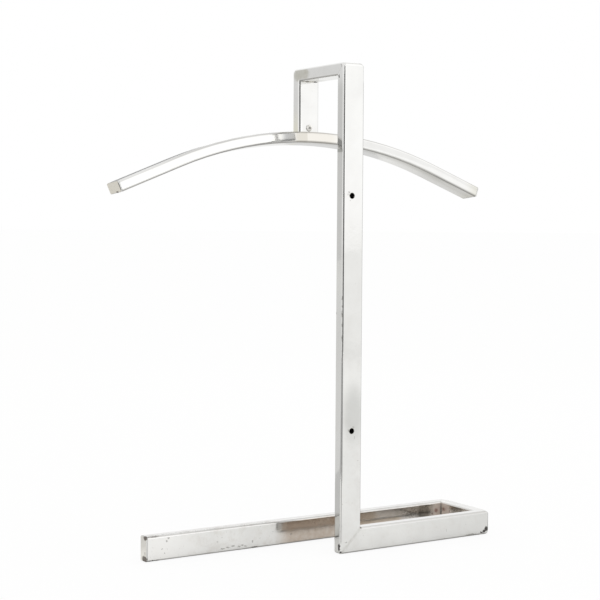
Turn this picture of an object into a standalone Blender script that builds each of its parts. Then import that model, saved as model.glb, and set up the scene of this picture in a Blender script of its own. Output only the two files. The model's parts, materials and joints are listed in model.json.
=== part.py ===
"""Wall coat rack of flat plated tube: a jacket hanger above and a trouser rail below.

Frame: the origin lies on the wall face of the post, midway between its two screw holes.
+X runs along the bars to the closed end, +Y from the wall into the room, +Z up. Metres.
"""

import math

import bmesh
import bpy
from mathutils import Matrix, Vector

# Tube stock
TUBE_WIDTH = 0.025
TUBE_DEPTH = 0.0125
TUBE_WALL = 0.0015
EDGE_RADIUS = 0.0025

# Mitred corners
CORNER_RADIUS = 0.004
FOOT_CORNER_RADIUS = 0.002
GRIND_RADIUS = 0.0070
GRIND_LENGTH = 0.0155
GRIND_START = 0.0001
SEAM_GAP = 0.0003

# Frame
POST_HEIGHT = 0.490
TOP_REACH = 0.095
RAIL_REACH = 0.081
CLOSED_END_X = 0.180
FREE_END_X = 0.1945

# Wall screw holes
LOWER_HOLE_HEIGHT = 0.1235
HOLE_SPACING = 0.235
HOLE_DIAMETER = 0.006
UPPER_HOLE_SHIFT = 0.0016

# Hanger
HANGER_DROP = 0.071
HANGER_THICKNESS = 0.0115
HANGER_BEND_RADIUS = 0.424
HANGER_SLOPE = math.radians(21.5)
HANGER_TILT = math.radians(5.5)
LEFT_ARM = 0.071
RIGHT_ARM = 0.066

# End caps
CAP_THICKNESS = 0.0015
CAP_RADIUS = 0.001
CAP_SPIGOT = 0.008
FIT_CLEARANCE = 0.0003

# Tongue and its screw
TONGUE_LENGTH = 0.026
HEAD_CLEARANCE = 0.0002
SCREW_DIAMETER = 0.004
SCREW_LENGTH = 0.0085
HEAD_DIAMETER = 0.007
HEAD_HEIGHT = 0.0018
RECESS_LENGTH = 0.0038
RECESS_WIDTH = 0.0009
RECESS_DEPTH = 0.0009

# Facets
EDGE_STEPS = 4
GRIND_STEPS = 7
BEND_STEPS = 20
ROUND_STEPS = 24

# Places that follow from the sizes
HALF_WIDTH = TUBE_WIDTH / 2
BASE_Z = -(LOWER_HOLE_HEIGHT + HOLE_SPACING / 2)
TOP_Z = BASE_Z + POST_HEIGHT
STEM_Y = TOP_REACH - TUBE_DEPTH / 2
HANGER_Z = TOP_Z - HANGER_DROP
OVERCUT = 0.02


def new_collection(name):
    """Make a collection in the scene."""
    collection = bpy.data.collections.new(name)
    bpy.context.scene.collection.children.link(collection)
    return collection


def plated(name, colour, roughness):
    """Make the metal of one piece."""
    material = bpy.data.materials.new(name)
    material.use_nodes = True
    shader = material.node_tree.nodes["Principled BSDF"]
    shader.inputs["Base Color"].default_value = (*colour, 1.0)
    shader.inputs["Metallic"].default_value = 1.0
    shader.inputs["Roughness"].default_value = roughness
    return material


def add_object(name, mesh, collection, parent=None):
    """Put a mesh into the scene as an object, held by an empty if one is given."""
    thing = bpy.data.objects.new(name, mesh)
    collection.objects.link(thing)
    thing.parent = parent
    return thing


def as_cutter(thing):
    """Keep a helper shape out of the picture."""
    thing.hide_render = True
    thing.display_type = 'WIRE'
    return thing


def finish_piece(thing, colour=(0.72, 0.71, 0.68), roughness=0.12):
    """Give a piece its metal and its smooth shading."""
    thing.data.materials.append(plated(thing.name, colour, roughness))
    thing.data.shade_smooth()
    return thing


def block_mesh(name, low, high):
    """Make a box mesh between two corners."""
    low = Vector(low)
    high = Vector(high)
    work = bmesh.new()
    bmesh.ops.create_cube(work, size=1.0)
    bmesh.ops.scale(work, vec=high - low, verts=work.verts)
    bmesh.ops.translate(work, vec=(low + high) / 2, verts=work.verts)
    mesh = bpy.data.meshes.new(name)
    work.to_mesh(mesh)
    work.free()
    return mesh


def round_block(thing, axis, long_radius, low_radius, high_radius):
    """Round a box: its long edges along one axis, and the edges of its two ends."""
    widest = max(long_radius, low_radius, high_radius)
    work = bmesh.new()
    work.from_mesh(thing.data)
    weights = work.edges.layers.float.new("bevel_weight_edge")
    middle = sum(v.co[axis] for v in work.verts) / len(work.verts)
    for edge in work.edges:
        first, second = edge.verts
        if abs(first.co[axis] - second.co[axis]) > 1e-6:
            radius = long_radius
        elif first.co[axis] < middle:
            radius = low_radius
        else:
            radius = high_radius
        edge[weights] = radius / widest
    work.to_mesh(thing.data)
    work.free()
    bevel = thing.modifiers.new("rounded edges", 'BEVEL')
    bevel.limit_method = 'WEIGHT'
    bevel.width = widest
    bevel.segments = EDGE_STEPS
    bevel.use_clamp_overlap = True


def cut(thing, cutter, operation='DIFFERENCE'):
    """Cut a piece with a cutter, or join the cutter to it. All shapes are closed, so the result is too."""
    step = thing.modifiers.new(cutter.name, 'BOOLEAN')
    step.operation = operation
    step.solver = 'MANIFOLD'
    step.object = cutter


def tube(name, axis, low, high, low_radius, high_radius, low_open=False, high_open=False):
    """Make a straight length of tube between two corners.

    A mitred end has its outer edges rounded and its bore stops short of them, where weld metal
    fills the corner. An open end runs past its length and is cut back later.
    """
    low = list(low)
    high = list(high)
    if low_open:
        low[axis] -= OVERCUT
    if high_open:
        high[axis] += OVERCUT
    body = add_object(name, block_mesh(name, low, high), pieces)
    round_block(body, axis, EDGE_RADIUS, low_radius, high_radius)
    bore_low = [value + TUBE_WALL for value in low]
    bore_high = [value - TUBE_WALL for value in high]
    bore_low[axis] = low[axis] - OVERCUT if low_open else low[axis] + max(TUBE_WALL, low_radius)
    bore_high[axis] = high[axis] + OVERCUT if high_open else high[axis] - max(TUBE_WALL, high_radius)
    bore = as_cutter(add_object(name + "_bore", block_mesh(name + "_bore", bore_low, bore_high), cutters))
    inner_radius = max(EDGE_RADIUS - TUBE_WALL, TUBE_WALL / 3)
    round_block(bore, axis, inner_radius, 0.0, 0.0)
    cut(body, bore)
    return body


def half_space(name, point, normal, parent=None):
    """Make a large block that fills the side of a plane that its normal points to."""
    size = 4 * TUBE_WIDTH
    mesh = block_mesh(name, (-size, -size, 0.0), (size, size, 2 * size))
    cutter = as_cutter(add_object(name, mesh, cutters, parent))
    cutter.rotation_euler = Vector(normal).to_track_quat('Z', 'Y').to_euler()
    cutter.location = point
    return cutter


def mitre(first, second, outer, normal):
    """Cut two tubes on one plane through their outer corner, with a hairline seam between them.

    The normal points from the first tube to the second.
    """
    normal = Vector(normal).normalized()
    outer = Vector(outer)
    back = outer - normal * SEAM_GAP / 2
    ahead = outer + normal * SEAM_GAP / 2
    cut(first, half_space(first.name + "_to_" + second.name, back, normal))
    cut(second, half_space(second.name + "_to_" + first.name, ahead, -normal))


def grind(first, second, corner, inward, out_a, out_b):
    """Round one outer corner of a mitre, most at its face and less and less along the tube.

    The corner is where the tubes' outer faces meet. Inward points along the rounded edge, and the
    two out directions point away from the faces on both sides of it. The round starts a hair
    outside those faces, so that it crosses them instead of touching them.
    """
    corner = Vector(corner)
    inward = Vector(inward)
    out_a = Vector(out_a)
    out_b = Vector(out_b)
    end_radius = EDGE_RADIUS / 2
    rings = []
    work = bmesh.new()
    for distance in (-GRIND_LENGTH / 2, GRIND_LENGTH):
        radius = GRIND_RADIUS + (end_radius - GRIND_RADIUS) * distance / GRIND_LENGTH
        centre = GRIND_START - radius
        outline = [(OVERCUT, centre)]
        for step in range(GRIND_STEPS + 1):
            angle = math.pi / 2 * step / GRIND_STEPS
            outline.append((centre + radius * math.cos(angle), centre + radius * math.sin(angle)))
        outline += [(centre, OVERCUT), (OVERCUT, OVERCUT)]
        rings.append([
            work.verts.new(corner + inward * distance + out_a * a + out_b * b)
            for a, b in outline
        ])
    count = len(rings[0])
    for index in range(count):
        after = (index + 1) % count
        work.faces.new((rings[0][index], rings[0][after], rings[1][after], rings[1][index]))
    work.faces.new(rings[0])
    work.faces.new(rings[1])
    bmesh.ops.recalc_face_normals(work, faces=work.faces)
    name = "%s_%s_ground_%d" % (first.name, second.name, len(cutters.objects))
    mesh = bpy.data.meshes.new(name)
    work.to_mesh(mesh)
    work.free()
    stone = as_cutter(add_object(name, mesh, cutters))
    cut(first, stone)
    cut(second, stone)


def rod_cutter(name, diameter, start, end):
    """Make a round drill along Y between two points."""
    start = Vector(start)
    end = Vector(end)
    work = bmesh.new()
    bmesh.ops.create_cone(
        work, cap_ends=True, segments=ROUND_STEPS,
        radius1=diameter / 2, radius2=diameter / 2, depth=(end - start).length,
    )
    mesh = bpy.data.meshes.new(name)
    work.to_mesh(mesh)
    work.free()
    drill = as_cutter(add_object(name, mesh, cutters))
    drill.rotation_euler = (math.pi / 2, 0.0, 0.0)
    drill.location = (start + end) / 2
    return drill


def hanger_line(extra_left, extra_right):
    """List the points of the hanger's centreline: a straight arm, a bend, a straight arm."""
    points = []
    slope_x = math.cos(HANGER_SLOPE)
    slope_z = math.sin(HANGER_SLOPE)
    bend_x = HANGER_BEND_RADIUS * slope_z
    bend_z = HANGER_BEND_RADIUS * (slope_x - 1.0)
    left = LEFT_ARM + extra_left
    right = RIGHT_ARM + extra_right
    points.append((-bend_x - left * slope_x, 0.0, bend_z - left * slope_z))
    for step in range(BEND_STEPS + 1):
        angle = HANGER_SLOPE * (2.0 * step / BEND_STEPS - 1.0)
        x = HANGER_BEND_RADIUS * math.sin(angle)
        z = HANGER_BEND_RADIUS * (math.cos(angle) - 1.0)
        points.append((x, 0.0, z))
    points.append((bend_x + right * slope_x, 0.0, bend_z - right * slope_z))
    return points


def section_curve(name, width, depth, radius):
    """Make a flat outline of a rounded rectangle, for a curve to carry along."""
    points = []
    centres = ((1, 1, 0.0), (-1, 1, 0.5), (-1, -1, 1.0), (1, -1, 1.5))
    for side_x, side_y, turn in centres:
        centre_x = side_x * (width / 2 - radius)
        centre_y = side_y * (depth / 2 - radius)
        for step in range(EDGE_STEPS + 1):
            angle = math.pi * (turn + 0.5 * step / EDGE_STEPS)
            points.append((centre_x + radius * math.cos(angle), centre_y + radius * math.sin(angle)))
    outline = bpy.data.curves.new(name, 'CURVE')
    outline.dimensions = '2D'
    spline = outline.splines.new('POLY')
    spline.points.add(len(points) - 1)
    for target, (x, y) in zip(spline.points, points):
        target.co = (x, y, 0.0, 1.0)
    spline.use_cyclic_u = True
    return as_cutter(add_object(name, outline, cutters))


def swept_mesh(name, points, section):
    """Carry a section along a line of points and return the closed mesh."""
    path = bpy.data.curves.new(name, 'CURVE')
    path.dimensions = '3D'
    path.twist_mode = 'Z_UP'
    path.bevel_mode = 'OBJECT'
    path.bevel_object = section
    path.use_fill_caps = True
    spline = path.splines.new('POLY')
    spline.points.add(len(points) - 1)
    for target, point in zip(spline.points, points):
        target.co = (*point, 1.0)
    guide = add_object(name + "_path", path, cutters)
    bpy.context.view_layer.update()
    graph = bpy.context.evaluated_depsgraph_get()
    mesh = bpy.data.meshes.new_from_object(guide.evaluated_get(graph))
    bpy.data.objects.remove(guide)
    work = bmesh.new()
    work.from_mesh(mesh)
    bmesh.ops.remove_doubles(work, verts=work.verts, dist=1e-6)
    bmesh.ops.recalc_face_normals(work, faces=work.faces)
    work.to_mesh(mesh)
    work.free()
    mesh.name = name
    return mesh


def end_cap(name, depth, parent=None):
    """Make a tube's end cap, its outside at the origin and its spigot along +X.

    The tube's wide side lies along Z and its narrow side, of the given depth, along Y.
    """
    half_depth = depth / 2
    plate = block_mesh(name, (0.0, -half_depth, -HALF_WIDTH), (CAP_THICKNESS, half_depth, HALF_WIDTH))
    cap = add_object(name, plate, pieces, parent)
    round_block(cap, 0, EDGE_RADIUS, CAP_RADIUS, 0.0)
    inset = TUBE_WALL + FIT_CLEARANCE
    spigot_mesh = block_mesh(
        name + "_spigot",
        (CAP_THICKNESS / 2, inset - half_depth, inset - HALF_WIDTH),
        (CAP_THICKNESS + SEAM_GAP + CAP_SPIGOT, half_depth - inset, HALF_WIDTH - inset),
    )
    spigot = as_cutter(add_object(name + "_spigot", spigot_mesh, cutters, parent))
    spigot_radius = max(EDGE_RADIUS - TUBE_WALL, TUBE_WALL / 3)
    round_block(spigot, 0, spigot_radius, 0.0, 0.0)
    cut(cap, spigot, 'UNION')
    return cap, spigot


for old in list(bpy.data.objects):
    bpy.data.objects.remove(old)

pieces = new_collection("coat_rack")
cutters = new_collection("cutters")

# Wall post, upright against the wall
wall_post = tube(
    "wall_post", 2,
    (-HALF_WIDTH, 0.0, BASE_Z), (HALF_WIDTH, TUBE_DEPTH, TOP_Z),
    FOOT_CORNER_RADIUS, CORNER_RADIUS,
)

# Foot bar, along the wall
foot_bar = tube(
    "foot_bar", 0,
    (-HALF_WIDTH, 0.0, BASE_Z), (CLOSED_END_X, TUBE_DEPTH, BASE_Z + TUBE_WIDTH),
    FOOT_CORNER_RADIUS, CORNER_RADIUS,
)

# End bar, out from the wall to the rail
end_bar = tube(
    "end_bar", 1,
    (CLOSED_END_X - TUBE_DEPTH, 0.0, BASE_Z), (CLOSED_END_X, RAIL_REACH, BASE_Z + TUBE_WIDTH),
    CORNER_RADIUS, CORNER_RADIUS,
)

# Trouser rail, back along the room side to a free end
RAIL_CUT_X = CAP_THICKNESS + SEAM_GAP - FREE_END_X
trouser_rail = tube(
    "trouser_rail", 0,
    (RAIL_CUT_X, RAIL_REACH - TUBE_DEPTH, BASE_Z), (CLOSED_END_X, RAIL_REACH, BASE_Z + TUBE_WIDTH),
    0.0, CORNER_RADIUS, low_open=True,
)
cut(trouser_rail, half_space("rail_free_end", (RAIL_CUT_X, RAIL_REACH, BASE_Z), (-1.0, 0.0, 0.0)))

# Top bar, out from the post's top
top_bar = tube(
    "top_bar", 1,
    (-HALF_WIDTH, 0.0, TOP_Z - TUBE_DEPTH), (HALF_WIDTH, TOP_REACH, TOP_Z),
    CORNER_RADIUS, CORNER_RADIUS,
)

# Hanger stem, down from the top bar's end
hanger_stem = tube(
    "hanger_stem", 2,
    (-HALF_WIDTH, TOP_REACH - TUBE_DEPTH, HANGER_Z), (HALF_WIDTH, TOP_REACH, TOP_Z),
    0.0, CORNER_RADIUS, low_open=True,
)

# Mitred corners of the frame
mitre(foot_bar, wall_post, (-HALF_WIDTH, 0.0, BASE_Z), (-1.0, 0.0, 1.0))
mitre(foot_bar, end_bar, (CLOSED_END_X, 0.0, BASE_Z), (1.0, 1.0, 0.0))
mitre(end_bar, trouser_rail, (CLOSED_END_X, RAIL_REACH, BASE_Z), (-1.0, 1.0, 0.0))
mitre(wall_post, top_bar, (0.0, 0.0, TOP_Z), (0.0, 1.0, 1.0))
mitre(top_bar, hanger_stem, (0.0, TOP_REACH, TOP_Z), (0.0, 1.0, -1.0))

# Outer corners ground round after brazing: one at the top of the post, and those of the closed end
grind(wall_post, top_bar, (HALF_WIDTH, 0.0, TOP_Z), (0.0, 1.0, 0.0), (1.0, 0.0, 0.0), (0.0, 0.0, 1.0))
for side in (-1.0, 1.0):
    side_z = BASE_Z + HALF_WIDTH + side * HALF_WIDTH
    grind(foot_bar, end_bar, (CLOSED_END_X, 0.0, side_z), (0.0, 1.0, 0.0), (1.0, 0.0, 0.0), (0.0, 0.0, side))
    grind(
        trouser_rail, end_bar,
        (CLOSED_END_X, RAIL_REACH, side_z), (0.0, -1.0, 0.0), (1.0, 0.0, 0.0), (0.0, 0.0, side),
    )

# Wall screw holes, through both walls of the post
hole_places = (
    ("lower_hole", 0.0, -HOLE_SPACING / 2),
    ("upper_hole", -UPPER_HOLE_SHIFT, HOLE_SPACING / 2),
)
for hole_name, hole_x, hole_z in hole_places:
    drill_start = (hole_x, -OVERCUT, hole_z)
    drill_end = (hole_x, TUBE_DEPTH + OVERCUT, hole_z)
    cut(wall_post, rod_cutter(hole_name, HOLE_DIAMETER, drill_start, drill_end))

# Hanger, tilted a little so that its room side is the lower one
hanger_frame = bpy.data.objects.new("hanger_frame", None)
pieces.objects.link(hanger_frame)
hanger_frame.location = (0.0, STEM_Y, HANGER_Z)
hanger_frame.rotation_euler = (-HANGER_TILT, 0.0, 0.0)

cap_stop = CAP_THICKNESS + SEAM_GAP
outer_section = section_curve("hanger_section", TUBE_WIDTH, HANGER_THICKNESS, EDGE_RADIUS)
outer_mesh = swept_mesh("hanger_bar", hanger_line(-cap_stop, -cap_stop), outer_section)
hanger_bar = add_object("hanger_bar", outer_mesh, pieces, hanger_frame)
inner_section = section_curve(
    "hanger_bore_section",
    TUBE_WIDTH - 2 * TUBE_WALL, HANGER_THICKNESS - 2 * TUBE_WALL,
    max(EDGE_RADIUS - TUBE_WALL, TUBE_WALL / 3),
)
inner_mesh = swept_mesh("hanger_bore", hanger_line(OVERCUT, OVERCUT), inner_section)
hanger_bore = as_cutter(add_object("hanger_bore", inner_mesh, cutters, hanger_frame))
cut(hanger_bar, hanger_bore)

# End caps
rail_end_cap, rail_spigot = end_cap("rail_end_cap", TUBE_DEPTH)
rail_place = Matrix.Translation((-FREE_END_X, RAIL_REACH - TUBE_DEPTH / 2, BASE_Z + HALF_WIDTH))
rail_end_cap.matrix_world = rail_place
rail_spigot.matrix_world = rail_place

line = hanger_line(0.0, 0.0)
hanger_caps = []
for side, tip, along in (("left", line[0], HANGER_SLOPE), ("right", line[-1], math.pi - HANGER_SLOPE)):
    cap, spigot = end_cap("hanger_cap_" + side, HANGER_THICKNESS, hanger_frame)
    lean = Matrix.Rotation(-along, 4, 'Y') @ Matrix.Rotation(math.pi / 2, 4, 'X')
    for thing in (cap, spigot):
        thing.matrix_local = Matrix.Translation(tip) @ lean
    hanger_caps.append(cap)

# Tongue on the hanger, inside the stem's open end
seat = HANGER_THICKNESS / 2 + SEAM_GAP
room = TUBE_WALL + FIT_CLEARANCE
tongue_mesh = block_mesh(
    "hanger_tongue",
    (room - HALF_WIDTH, TOP_REACH - TUBE_DEPTH + room, HANGER_Z),
    (HALF_WIDTH - room, TOP_REACH - room, HANGER_Z + seat + TONGUE_LENGTH),
)
hanger_tongue = add_object("hanger_tongue", tongue_mesh, pieces)
tongue_radius = max(EDGE_RADIUS - TUBE_WALL, TUBE_WALL / 3)
round_block(hanger_tongue, 2, tongue_radius, 0.0, tongue_radius)

# The stem and the tongue end on one plane, just clear of the hanger's top
under_stem = half_space("under_stem", (0.0, 0.0, seat), (0.0, 0.0, -1.0), hanger_frame)
cut(hanger_stem, under_stem)
cut(hanger_tongue, under_stem)

# Screw through the stem's wall side into the tongue, its head just clear of the tilted hanger
head_reach = TUBE_DEPTH / 2 + SEAM_GAP + HEAD_HEIGHT
lowest_head = HANGER_Z + (seat + head_reach * math.sin(HANGER_TILT)) / math.cos(HANGER_TILT)
screw_z = lowest_head + HEAD_CLEARANCE + HEAD_DIAMETER / 2
face_y = TOP_REACH - TUBE_DEPTH
hole_size = SCREW_DIAMETER + 2 * FIT_CLEARANCE
screw_hole = rod_cutter(
    "screw_hole", hole_size,
    (0.0, face_y - OVERCUT, screw_z), (0.0, face_y + SCREW_LENGTH + FIT_CLEARANCE, screw_z),
)
cut(hanger_stem, screw_hole)
cut(hanger_tongue, screw_hole)

profile = []
for step in range(EDGE_STEPS + 1):
    turn = math.pi / 2 * step / EDGE_STEPS
    profile.append((HEAD_DIAMETER / 2 * math.sin(turn), HEAD_HEIGHT * math.cos(turn)))
profile.append((SCREW_DIAMETER / 2, 0.0))
profile.append((SCREW_DIAMETER / 2, -SCREW_LENGTH))
profile.append((0.0, -SCREW_LENGTH))
work = bmesh.new()
corners = [work.verts.new((x, 0.0, z)) for x, z in profile]
for first, second in zip(corners, corners[1:]):
    work.edges.new((first, second))
screw_mesh = bpy.data.meshes.new("stem_screw")
work.to_mesh(screw_mesh)
work.free()
stem_screw = add_object("stem_screw", screw_mesh, pieces)
turned = stem_screw.modifiers.new("turned", 'SCREW')
turned.axis = 'Z'
turned.angle = 2 * math.pi
turned.steps = ROUND_STEPS
turned.render_steps = ROUND_STEPS
turned.use_merge_vertices = True
turned.merge_threshold = 1e-5
stem_screw.rotation_euler = (math.pi / 2, 0.0, 0.0)
stem_screw.location = (0.0, face_y - SEAM_GAP, screw_z)
for number, (wide, tall) in enumerate(((RECESS_LENGTH, RECESS_WIDTH), (RECESS_WIDTH, RECESS_LENGTH))):
    recess_mesh = block_mesh(
        "recess_%d" % number,
        (-wide / 2, face_y - SEAM_GAP - HEAD_HEIGHT - OVERCUT, screw_z - tall / 2),
        (wide / 2, face_y - SEAM_GAP - HEAD_HEIGHT + RECESS_DEPTH, screw_z + tall / 2),
    )
    cut(stem_screw, as_cutter(add_object("recess_%d" % number, recess_mesh, cutters)))

# Metal of each piece
bright_pieces = (wall_post, foot_bar, end_bar, trouser_rail, top_bar, hanger_stem, hanger_bar)
for piece in bright_pieces:
    finish_piece(piece)
for piece in (rail_end_cap, *hanger_caps):
    finish_piece(piece, (0.60, 0.58, 0.53), 0.25)
finish_piece(hanger_tongue, (0.35, 0.34, 0.32), 0.45)
finish_piece(stem_screw, (0.45, 0.44, 0.42), 0.30)
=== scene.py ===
# %% [markdown]
# # A wall coat rack of chromed tube
#
# The rack is mitred from flat tube, brazed at its corners and plated with chromium. It has an arched jacket
# hanger above and a trouser rail below. Its solids come ready made from the CAD frame, so this lesson
# dresses them: polished normals, plating with its films and worn spots, the brazing in the corners, and
# the small studio that a bright metal needs before it looks like metal.

# %% Load the frame
import json
import math
from types import SimpleNamespace

import bmesh
import bpy
from mathutils import Matrix, Vector, noise


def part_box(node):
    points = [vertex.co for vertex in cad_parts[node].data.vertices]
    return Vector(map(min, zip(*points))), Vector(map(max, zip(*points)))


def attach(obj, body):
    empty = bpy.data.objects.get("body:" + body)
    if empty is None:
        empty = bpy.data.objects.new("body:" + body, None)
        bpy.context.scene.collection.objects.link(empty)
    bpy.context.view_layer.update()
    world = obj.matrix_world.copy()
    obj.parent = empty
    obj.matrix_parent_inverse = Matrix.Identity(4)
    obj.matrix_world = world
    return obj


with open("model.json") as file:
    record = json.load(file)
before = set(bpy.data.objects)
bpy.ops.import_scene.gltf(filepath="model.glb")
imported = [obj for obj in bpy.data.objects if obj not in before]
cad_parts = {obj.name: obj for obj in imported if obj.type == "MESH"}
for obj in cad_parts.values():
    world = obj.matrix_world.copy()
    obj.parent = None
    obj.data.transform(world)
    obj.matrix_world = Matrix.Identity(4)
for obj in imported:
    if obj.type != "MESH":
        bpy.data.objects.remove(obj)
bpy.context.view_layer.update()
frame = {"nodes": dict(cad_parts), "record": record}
nodes = frame["nodes"]
MM = 0.001
print("CAD pieces:", ", ".join(sorted(nodes)))

# %% [markdown]
# ## The camera
#
# The rack is seen from the wall side, a little below the hanger and well to the left of the post. A camera
# can be matched by eye, but straight tube gives many long edges, so the place, the turn and the lens were
# worked out from where those edges meet. The turn is given as yaw, pitch and roll.

# %% Place the camera
CAMERA_PLACE = Vector((-823.1, -1198.5, 90.1)) * MM
CAMERA_YAW = math.radians(32.411)
CAMERA_PITCH = math.radians(-3.013)
CAMERA_ROLL = math.radians(0.344)
FOCAL_PIXELS = 1460.3
IMAGE_PIXELS = 600
SENSOR_WIDTH = 36.0
NEAREST_SEEN = 0.01


def add_object(name, data):
    """Make an object and put it in the scene."""
    thing = bpy.data.objects.new(name, data)
    bpy.context.scene.collection.objects.link(thing)
    return thing


level = math.cos(CAMERA_PITCH)
ahead = Vector((math.sin(CAMERA_YAW) * level, math.cos(CAMERA_YAW) * level, math.sin(CAMERA_PITCH)))
right = Vector((math.cos(CAMERA_YAW), -math.sin(CAMERA_YAW), 0.0))
above = right.cross(ahead)
rolled_right = math.cos(CAMERA_ROLL) * right + math.sin(CAMERA_ROLL) * above
rolled_above = math.cos(CAMERA_ROLL) * above - math.sin(CAMERA_ROLL) * right

camera_data = bpy.data.cameras.new("camera")
camera_data.sensor_width = SENSOR_WIDTH
camera_data.lens = FOCAL_PIXELS * SENSOR_WIDTH / IMAGE_PIXELS
camera_data.clip_start = NEAREST_SEEN
camera = add_object("camera", camera_data)
turn = Matrix((rolled_right, rolled_above, -ahead)).transposed().to_4x4()
camera.matrix_world = Matrix.Translation(CAMERA_PLACE) @ turn
bpy.context.scene.camera = camera
print("lens %.1f mm" % camera_data.lens)

# %% [markdown]
# ## Helpers for colours and nodes
#
# Colours are read off as sRGB hex values, while shaders work in linear light, so one function converts
# them. The next adds a node, sets it and links it in a single call, which keeps each material short
# enough to read, and the last starts an empty material.

# %% Colour and node helpers
def linear(hex_colour):
    """Turn an sRGB hex colour into linear light, with alpha."""
    channels = []
    for start in (1, 3, 5):
        value = int(hex_colour[start:start + 2], 16) / 255
        if value <= 0.04045:
            channels.append(value / 12.92)
        else:
            channels.append(((value + 0.055) / 1.055) ** 2.4)
    return (*channels, 1.0)


def add_node(tree, kind, inputs=None, **settings):
    """Add a node, set its properties, and fill its sockets with values or with links."""
    node = tree.nodes.new(kind)
    for name, value in settings.items():
        setattr(node, name, value)
    for key, value in (inputs or {}).items():
        if isinstance(value, bpy.types.NodeSocket):
            tree.links.new(value, node.inputs[key])
        else:
            node.inputs[key].default_value = value
    return node


def new_material(name):
    """Make an empty node material with its output."""
    material = bpy.data.materials.new(name)
    material.use_nodes = True
    material.node_tree.nodes.clear()
    output = material.node_tree.nodes.new("ShaderNodeOutputMaterial")
    return material, material.node_tree, output


print("half grey is %.3f in linear light" % linear("#808080")[0])

# %% [markdown]
# ## Masks that know where they are
#
# Wear has a place: a chip sits on one corner, a film lies on one face. The pieces are modelled in place, so
# the object coordinate of a point is also its place on the rack. Times a thousand it is in millimetres,
# and a worn spot is then simply the points within so many millimetres of a centre. Painting would need UV
# maps and an image, while these masks are only numbers.

# %% Mask helpers
GRIT_SIZE = 1.6
RAGGED_SHIFT = 3.0


def combine(tree, operation, masks):
    """Combine several masks: MULTIPLY where all must hold, MAXIMUM where any may."""
    total = masks[0]
    for mask in masks[1:]:
        total = add_node(tree, "ShaderNodeMath", {0: total, 1: mask}, operation=operation).outputs[0]
    return total


def soft_band(tree, value, rise=None, fall=None):
    """Mask that climbs from 0 to 1 over its rise and sinks back over its fall. Either may be left out."""
    slopes = []
    if rise:
        slopes.append(rise)
    if fall:
        slopes.append((fall[1], fall[0]))
    masks = []
    for zero_at, one_at in slopes:
        slope = add_node(tree, "ShaderNodeMapRange", {
            "Value": value, "From Min": zero_at, "From Max": one_at,
        }, interpolation_type='SMOOTHSTEP')
        masks.append(slope.outputs[0])
    return combine(tree, 'MULTIPLY', masks)


def worn_spot(tree, place, centre, reach, edge):
    """Mask of an oval spot in millimetres, soft over a share of its reach."""
    offset = add_node(tree, "ShaderNodeVectorMath", {0: place, 1: centre}, operation='SUBTRACT')
    scaled = add_node(tree, "ShaderNodeVectorMath", {0: offset.outputs[0], 1: reach}, operation='DIVIDE')
    distance = add_node(tree, "ShaderNodeVectorMath", {0: scaled.outputs[0]}, operation='LENGTH')
    return soft_band(tree, distance.outputs["Value"], fall=(1.0 - edge, 1.0))


def place_on_rack(tree):
    """Give a point's place on the rack in millimetres."""
    point = add_node(tree, "ShaderNodeTexCoord")
    return add_node(tree, "ShaderNodeVectorMath", {
        0: point.outputs["Object"], "Scale": 1 / MM,
    }, operation='SCALE').outputs[0]


def ragged_place(tree, place):
    """Shift a place by fine noise, which gives the spots measured from it ragged edges."""
    grit = add_node(tree, "ShaderNodeTexNoise", {"Vector": place, "Scale": 1 / GRIT_SIZE, "Detail": 3.0})
    centred = add_node(tree, "ShaderNodeVectorMath", {
        0: grit.outputs["Color"], 1: (0.5, 0.5, 0.5),
    }, operation='SUBTRACT')
    shift = add_node(tree, "ShaderNodeVectorMath", {
        0: centred.outputs[0], "Scale": RAGGED_SHIFT,
    }, operation='SCALE')
    return add_node(tree, "ShaderNodeVectorMath", {0: place, 1: shift.outputs[0]}, operation='ADD').outputs[0]


print("ragged edges wander by up to %.1f mm" % (RAGGED_SHIFT / 2))

# %% [markdown]
# ## Where the plating is worn
#
# Chips show where the tube was knocked: the low corner of the foot bar and the foot of the post. Screw heads
# have left marks round the wall holes. A few spots are painted shade: a contact shadow along the low edge of
# the rail's free end and a dark line along its top edge. Each spot is a centre and a reach in millimetres.
# One table keeps them together, so a spot can be moved without touching the material.

# %% Worn spots
CHIPS = (
    # foot bar, low right corner and the scuffs beside it
    ((175.6, 1.0, -235.0), (3.2, 3.0, 3.7)),
    ((172.6, 0.6, -237.4), (2.7, 3.0, 1.9)),
    ((169.4, 0.4, -238.5), (2.6, 3.0, 0.9)),
    # post, foot of its left edge
    ((-12.5, 2.8, -234.2), (1.8, 1.9, 5.0)),
    ((-11.6, 0.6, -239.2), (1.6, 2.0, 1.0)),
    # rail, dirt under the middle
    ((-72.0, 68.6, -239.5), (4.5, 2.0, 0.7)),
    # rail, painted contact shadow along the low edge of the free end
    ((-186.0, 69.4, -240.5), (9.0, 1.8, 1.0)),
    # braze pit at the inner corner of post and top bar
    ((-12.5, 8.6, 235.6), (2.0, 1.3, 2.4)),
    ((-12.5, 15.6, 236.6), (2.0, 4.2, 0.8)),
    # dark spot at the inner corner of post and foot bar
    ((12.6, 0.9, -215.9), (1.3, 1.4, 1.3)),
    # seam at the top of the post
    ((-12.5, 4.9, 245.6), (1.5, 0.45, 2.6)),
)
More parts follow.
